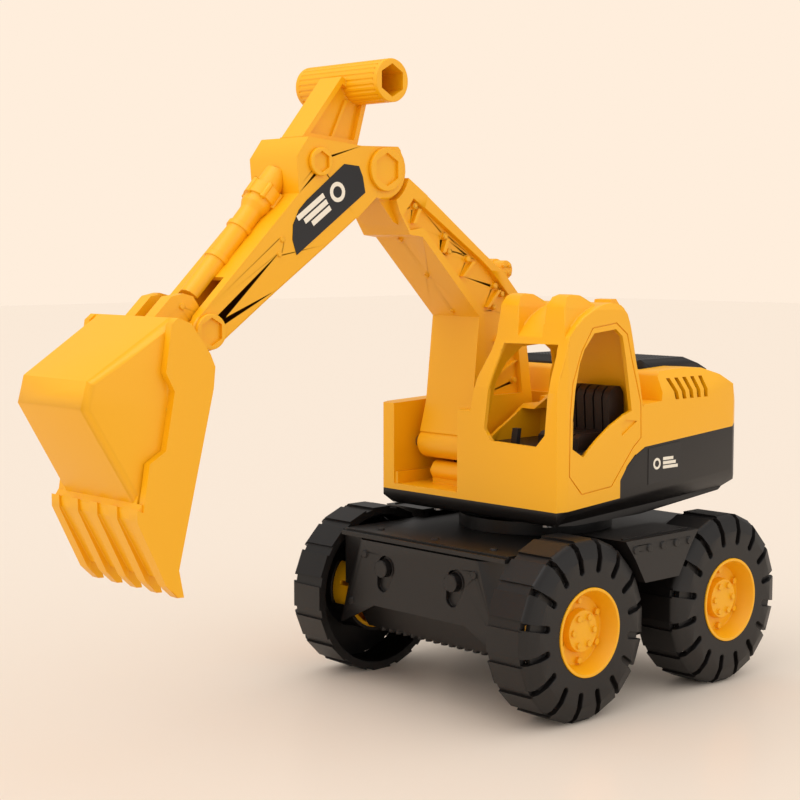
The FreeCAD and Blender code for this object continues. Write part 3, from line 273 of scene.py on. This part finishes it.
def room_beside(whole, edges, run, width):
    """How far each edge is from the nearest feature of another run, leaving out where the runs meet."""
    points = points_along(edges, 0.8 * width)
    tree = KDTree(max(1, len(points)))
    for i, (place, edge) in enumerate(points):
        tree.insert(place, i)
    tree.balance()
    meetings = junctions(whole, run)
    room = {edge.index: REACH * width for edge in edges}
    for place, edge in points:
        for near, i, gap in tree.find_range(place, REACH * width):
            other = points[i][1]
            if run[other.index] == run[edge.index] or gap >= room[edge.index]:
                continue
            shared = meetings.get((run[edge.index], run[other.index]), ())
            if any(gap > JUNCTION * max((place - v).length, (near - v).length) for v in shared):
                continue
            room[edge.index] = gap
    return room


def weigh_edges(whole, width, angle):
    """Marks edges for rounding, each with no more of the width than there is room for beside it."""
    whole.verts.index_update()
    whole.edges.index_update()
    weight = whole.edges.layers.float.new("bevel_weight_edge")
    edges, run = feature_runs(whole, angle)
    room = room_beside(whole, edges, run, width)
    for edge in edges:
        share = min(1.0, SHARE_OF_ROOM * room[edge.index] / width)
        if share > LEAST_SHARE:
            edge[weight] = share


def smooth(piece, width, segments=2):
    """Rounds the marked edges and shades the piece so that flat faces stay flat."""
    rounding = piece.modifiers.new("Rounding", "BEVEL")
    rounding.limit_method = "WEIGHT"
    rounding.width = width
    rounding.segments = segments
    rounding.use_clamp_overlap = False
    rounding.miter_outer = "MITER_ARC"
    evaluated(piece)
    piece.data.shade_smooth()
    piece.data.set_sharp_from_angle(angle=SHARP)
    piece.modifiers.new("Flat faces", "WEIGHTED_NORMAL").keep_sharp = True
    return evaluated(piece)


def settle(piece, body, slot, nodes=()):
    """Gives a finished piece its material, body, slot and the CAD nodes it stands for."""
    piece.data.materials.clear()
    piece.data.materials.append(materials()[slot])
    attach(piece, body)
    if nodes:
        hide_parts(*nodes)
    return piece


def moulding(node, width=None, angle=25):
    """A softened copy of one CAD node, which it stands for."""
    width = width or sizes().edge_round
    whole = merged_copy(node)
    weigh_edges(whole, width, angle)
    mesh = bpy.data.meshes.new(node + "_moulded")
    whole.to_mesh(mesh)
    whole.free()
    for stale in ("custom_normal", "sharp_edge", "sharp_face"):
        if stale in mesh.attributes:
            mesh.attributes.remove(mesh.attributes[stale])
    piece = smooth(linked(node + "_moulded", mesh), width)
    return settle(piece, BODY_OF[node], SLOT_OF[node], [node])


# ---------------------------------------------------------------- repeats in Geometry Nodes

def tree_with(name, inputs):
    """A geometry node group with these named inputs, and the nodes at its two ends."""
    tree = bpy.data.node_groups.new(name, "GeometryNodeTree")
    tree.interface.new_socket("Geometry", in_out="INPUT", socket_type="NodeSocketGeometry")
    for label, kind in inputs:
        tree.interface.new_socket(label, in_out="INPUT", socket_type=kind)
    tree.interface.new_socket("Geometry", in_out="OUTPUT", socket_type="NodeSocketGeometry")
    return tree, tree.nodes.new("NodeGroupInput"), tree.nodes.new("NodeGroupOutput")


def marks_tree():
    """Repeats a piece at each vertex of a mesh of marks."""
    if "Pieces at marks" in bpy.data.node_groups:
        return bpy.data.node_groups["Pieces at marks"]
    tree, start, end = tree_with("Pieces at marks", [("Marks", "NodeSocketObject"),
                                                     ("Material", "NodeSocketMaterial")])
    marks = add_node(tree, "GeometryNodeObjectInfo", None, {"Object": start.outputs["Marks"]})
    spread = add_node(tree, "GeometryNodeInstanceOnPoints", None,
                      {"Points": marks.outputs["Geometry"], "Instance": start.outputs["Geometry"]})
    real = add_node(tree, "GeometryNodeRealizeInstances", None, {"Geometry": spread.outputs[0]})
    paint = add_node(tree, "GeometryNodeSetMaterial", None,
                     {"Geometry": real.outputs[0], "Material": start.outputs["Material"]})
    tree.links.new(paint.outputs[0], end.inputs[0])
    return tree


def worked(piece, tree, values):
    """Works a node tree into the piece's mesh, with these values on its named inputs."""
    modifier = piece.modifiers.new(tree.name, "NODES")
    modifier.node_group = tree
    for item in tree.interface.items_tree:
        if item.name in values:
            modifier[item.identifier] = values[item.name]
    return evaluated(piece)


# ---------------------------------------------------------------- wheels

class EXCAVATOR_OT_tyres(bpy.types.Operator):
    """Four hollow moulded tyres with stepped lugs and slots that run onto the sidewall"""
    bl_idname = "excavator.tyres"
    bl_label = "Tyres"

    def execute(self, context):
        for wheel in WHEELS:
            moulding("tyre_" + wheel, sizes().tyre_round)
        return {"FINISHED"}


class EXCAVATOR_OT_rims(bpy.types.Operator):
    """Four yellow rims with their hub caps"""
    bl_idname = "excavator.rims"
    bl_label = "Rims and hub caps"

    def execute(self, context):
        for wheel in WHEELS:
            moulding("rim_" + wheel, sizes().fine_round)
            moulding("hub_cap_" + wheel, sizes().fine_round)
        return {"FINISHED"}


# ---------------------------------------------------------------- undercarriage

class EXCAVATOR_OT_undercarriage(bpy.types.Operator):
    """The black chassis, its belly pan and the turntable ring"""
    bl_idname = "excavator.undercarriage"
    bl_label = "Undercarriage"

    def execute(self, context):
        for node in ("chassis_upper", "chassis_lower"):
            moulding(node, 0.5 * MM)
        moulding("turntable_ring", sizes().fine_round)
        return {"FINISHED"}


# ---------------------------------------------------------------- house

class EXCAVATOR_OT_house(bpy.types.Operator):
    """The tub, the yellow body and the cab"""
    bl_idname = "excavator.house"
    bl_label = "Tub, body and cab"

    def execute(self, context):
        for node in ("tub", "body_shell", "cab_shell"):
            moulding(node)
        return {"FINISHED"}


class EXCAVATOR_OT_lid(bpy.types.Operator):
    """The engine lid with a field of small raised diamonds on its flat top"""
    bl_idname = "excavator.lid"
    bl_label = "Engine lid"

    def execute(self, context):
        lid = moulding("engine_cover")
        field = worked(self.diamond(), marks_tree(),
                       {"Marks": self.places(lid), "Material": materials()["black_plastic"]})
        bpy.data.objects.remove(bpy.data.objects["lid_mesh_places"])
        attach(field, "house")
        return {"FINISHED"}

    def places(self, lid):
        """Staggered places for the diamonds, kept in from the edges of the lid's flat top."""
        top = max(v.co.z for v in lid.data.vertices)
        flat = [v.co for v in lid.data.vertices if v.co.z > top - 0.02 * MM]
        pitch = sizes().mesh_pitch
        low_x, high_x = min(v.x for v in flat) + 2 * MM, max(v.x for v in flat) - 2 * MM
        half = max(v.y for v in flat) - 2.5 * MM
        rows, columns = int((high_x - low_x) / pitch * 2), int(half / pitch)
        places = [(low_x + pitch * (i / 2 + 0.5), pitch * (j + (i % 2) / 2), top)
                  for i in range(rows) for j in range(-columns, columns)]
        mesh = bpy.data.meshes.new("lid_mesh_places")
        mesh.from_pydata(places, [], [])
        return linked("lid_mesh_places", mesh)

    def diamond(self):
        """One low four-sided point, its foot just inside the lid."""
        half, foot, rise = sizes().mesh_pitch * 0.36, -0.05 * MM, sizes().mesh_rise
        mesh = bpy.data.meshes.new("lid_mesh")
        mesh.from_pydata([(half, 0, foot), (0, half, foot), (-half, 0, foot), (0, -half, foot), (0, 0, rise)], [],
                         [(0, 1, 4), (1, 2, 4), (2, 3, 4), (3, 0, 4), (3, 2, 1, 0)])
        return linked("lid_mesh", mesh)


class EXCAVATOR_OT_cab_inside(bpy.types.Operator):
    """The cab's floor, ribbed seat and lever"""
    bl_idname = "excavator.cab_inside"
    bl_label = "Cab interior"

    def execute(self, context):
        for node in ("cab_floor", "seat", "lever"):
            moulding(node, sizes().fine_round)
        return {"FINISHED"}


# ---------------------------------------------------------------- boom, arm and bucket

class EXCAVATOR_OT_boom(bpy.types.Operator):
    """The boom and its back cover"""
    bl_idname = "excavator.boom"
    bl_label = "Boom"

    def execute(self, context):
        moulding("boom_shell", 0.5 * MM)
        moulding("boom_back_cover", 0.4 * MM)
        return {"FINISHED"}


class EXCAVATOR_OT_arm(bpy.types.Operator):
    """The arm, its under cover, dummy ram, grab handle and headed pins"""
    bl_idname = "excavator.arm"
    bl_label = "Arm"

    def execute(self, context):
        moulding("arm_shell", 1.3 * MM)
        moulding("arm_under_cover", 0.5 * MM)
        moulding("arm_ram", 0.4 * MM)
        moulding("handle", 0.5 * MM)
        for pin in ("arm_pin", "handle_pin", "bucket_pin"):
            moulding(pin, 0.5 * MM)
            moulding(pin + "_cap", 0.5 * MM)
        return {"FINISHED"}


class EXCAVATOR_OT_bucket(bpy.types.Operator):
    """The toothed bucket"""
    bl_idname = "excavator.bucket"
    bl_label = "Bucket"

    def execute(self, context):
        moulding("bucket_shell")
        return {"FINISHED"}


class EXCAVATOR_OT_marks(bpy.types.Operator):
    """A ring and three bars printed on each sticker film"""
    bl_idname = "excavator.marks"
    bl_label = "Printed marks"

    def execute(self, context):
        for film, along, length in (("arm_decal_", Vector((0.82, 0, -0.57)), 21 * MM),
                                    ("side_patch_", Vector((-1, 0, 0)), 13 * MM)):
            for hand in ("left", "right"):
                self.mark(film + hand, along, length)
        return {"FINISHED"}

    def mark(self, node, along, length):
        """One mark, laid just off the film's outer face. The ring and bars are shares of its length."""
        film = frame["nodes"][node].data
        side = 1 if node.endswith("left") else -1
        facing = [p for p in film.polygons if p.normal.y * side > 0.5]
        normal = sum((p.normal * p.area for p in facing), Vector()).normalized()
        outer = [film.vertices[i].co for p in film.polygons if p.normal.dot(normal) > 0.9 for i in p.vertices]
        centre = sum(outer, Vector()) / len(outer) + normal * 0.04 * MM
        across = normal.cross(along).normalized()
        along = across.cross(normal).normalized()
        whole = bmesh.new()

        def place(u, v):
            return whole.verts.new(centre + along * length * u + across * length * v)

        count = 24
        turns = [2 * math.pi * k / count for k in range(count)]
        outside, inside = ([place(-0.55 + r * math.cos(t), r * math.sin(t)) for t in turns] for r in (0.26, 0.15))
        for k in range(count):
            following = (k + 1) % count
            whole.faces.new((outside[k], outside[following], inside[following], inside[k]))
        for low, high, reach in ((-0.26, -0.12, 0.95), (-0.07, 0.07, 0.80), (0.12, 0.26, 0.62)):
            whole.faces.new([place(u, v) for u, v in ((-0.12, low), (reach, low), (reach, high), (-0.12, high))])
        mesh = bpy.data.meshes.new(node + "_mark")
        whole.to_mesh(mesh)
        whole.free()
        settle(linked(node + "_mark", mesh), BODY_OF[node], "mark")


class EXCAVATOR_OT_fasteners(bpy.types.Operator):
    """Finishes for the steel rods, screws and films that keep their CAD shape"""
    bl_idname = "excavator.fasteners"
    bl_label = "Fasteners and films"

    def execute(self, context):
        for node, thing in frame["nodes"].items():
            if not thing.hide_render:
                thing.data.materials.clear()
                thing.data.materials.append(materials()[SLOT_OF[node]])
        return {"FINISHED"}


# ---------------------------------------------------------------- stage

def mixed(tree, share, first, second):
    """A mix of two shaders by a number or another node's socket."""
    mix = tree.nodes.new("ShaderNodeMixShader")
    if isinstance(share, float):
        mix.inputs["Fac"].default_value = share
    else:
        tree.links.new(share, mix.inputs["Fac"])
    tree.links.new(first.outputs[0], mix.inputs[1])
    tree.links.new(second.outputs[0], mix.inputs[2])
    return mix


def paper_floor(paper):
    """A flat floor of matt paper with a slight sheen."""
    half = FLOOR_HALF
    mesh = bpy.data.meshes.new("floor")
    mesh.from_pydata([(-half, -half, 0), (half, -half, 0), (half, half, 0), (-half, half, 0)], [], [(0, 1, 2, 3)])
    floor = linked("floor", mesh)
    material = bpy.data.materials.new("Pale studio paper")
    material.use_nodes = True
    tree = material.node_tree
    matt = add_node(tree, "ShaderNodeBsdfDiffuse", {"Color": (*paper, 1)})
    sheen = add_node(tree, "ShaderNodeBsdfGlossy", {"Color": (*paper, 1), "Roughness": 0.22})
    tree.links.new(mixed(tree, 0.07, matt, sheen).outputs[0], tree.nodes["Material Output"].inputs["Surface"])
    mesh.materials.append(material)


def studio_world(scene, paper):
    """White light from all round, dimmer in reflections, with the paper's colour behind the toy."""
    scene.world = bpy.data.worlds.new("Studio")
    scene.world.use_nodes = True
    tree = scene.world.node_tree
    sky = tree.nodes["Background"]
    sky.inputs["Color"].default_value = (1, 1, 1, 1)
    seen = add_node(tree, "ShaderNodeBackground", {"Color": (*paper, 1), "Strength": 1.0})
    dim = add_node(tree, "ShaderNodeBackground", {"Color": (1.0, 0.95, 0.9, 1), "Strength": 0.45})
    path = add_node(tree, "ShaderNodeLightPath")
    lighting = mixed(tree, path.outputs["Is Glossy Ray"], sky, dim)
    whole = mixed(tree, path.outputs["Is Camera Ray"], lighting, seen)
    tree.links.new(whole.outputs[0], tree.nodes["World Output"].inputs["Surface"])


def place_camera(scene, back):
    """The camera, back from the point it looks at."""
    camera = bpy.data.objects.new("camera", bpy.data.cameras.new("camera"))
    scene.collection.objects.link(camera)
    camera.data.lens = LENS
    camera.data.sensor_width = SENSOR
    camera.location = AIM + back * DISTANCE
    camera.rotation_euler = back.to_track_quat("Z", "Y").to_euler()
    scene.camera = camera


def place_lamps(scene, back, pieces):
    """Three soft boxes, which light the toy but not the floor."""
    side = Vector((0, 0, 1)).cross(back).normalized()
    lit = bpy.data.collections.new("Lit by the lamps")
    for piece in pieces:
        lit.objects.link(piece)
    for name, offset, size, power in (("key", back * 0.7 - side * 0.9 + Vector((0, 0, 1.1)), 1.0, 7.0),
                                      ("top", Vector((0, 0, 1.5)), 1.4, 6.0),
                                      ("fill", back * 0.6 + side * 1.2 + Vector((0, 0, 0.4)), 1.2, 2.0)):
        lamp = bpy.data.lights.new(name, "AREA")
        lamp.size = size
        lamp.energy = power
        light = bpy.data.objects.new(name, lamp)
        light.location = AIM + offset
        light.rotation_euler = offset.to_track_quat("Z", "Y").to_euler()
        light.light_linking.receiver_collection = lit
        scene.collection.objects.link(light)


class EXCAVATOR_OT_stage(bpy.types.Operator):
    """A pale floor, soft studio light and the camera"""
    bl_idname = "excavator.stage"
    bl_label = "Stage"

    def execute(self, context):
        scene = context.scene
        paper = colours().paper
        pieces = [thing for thing in scene.objects if thing.type == "MESH"]
        paper_floor(paper)
        studio_world(scene, paper)
        back = Vector((math.sin(AZIMUTH) * math.cos(ELEVATION), -math.cos(AZIMUTH) * math.cos(ELEVATION),
                       math.sin(ELEVATION)))
        place_camera(scene, back)
        place_lamps(scene, back, pieces)
        scene.view_settings.view_transform = "Standard"
        return {"FINISHED"}


class EXCAVATOR_PT_panel(bpy.types.Panel):
    """Sizes, colours and the pieces in the order they are made"""
    bl_idname = "EXCAVATOR_PT_panel"
    bl_label = "Toy excavator"
    bl_space_type = "VIEW_3D"
    bl_region_type = "UI"
    bl_category = "Excavator"

    def draw(self, context):
        for group in (context.scene.excavator_sizes, context.scene.excavator_colours):
            box = self.layout.box()
            for key in group.bl_rna.properties.keys():
                if key not in ("rna_type", "name"):
                    box.prop(group, key)
        for operator in OPERATORS:
            self.layout.operator(operator.bl_idname)


OPERATORS = (EXCAVATOR_OT_tyres, EXCAVATOR_OT_rims, EXCAVATOR_OT_undercarriage,
             EXCAVATOR_OT_house, EXCAVATOR_OT_lid, EXCAVATOR_OT_cab_inside, EXCAVATOR_OT_boom,
             EXCAVATOR_OT_arm, EXCAVATOR_OT_bucket, EXCAVATOR_OT_marks, EXCAVATOR_OT_fasteners,
             EXCAVATOR_OT_stage)
CLASSES = (ExcavatorSizes, ExcavatorColours) + OPERATORS + (EXCAVATOR_PT_panel,)


def register():
    for kind in CLASSES:
        bpy.utils.register_class(kind)
    bpy.types.Scene.excavator_sizes = PointerProperty(type=ExcavatorSizes)
    bpy.types.Scene.excavator_colours = PointerProperty(type=ExcavatorColours)


def unregister():
    del bpy.types.Scene.excavator_colours
    del bpy.types.Scene.excavator_sizes
    for kind in reversed(CLASSES):
        bpy.utils.unregister_class(kind)


def main():
    register()
    for operator in OPERATORS:
        group, name = operator.bl_idname.split(".")
        getattr(getattr(bpy.ops, group), name)()


if __name__ == "__main__":
    main()
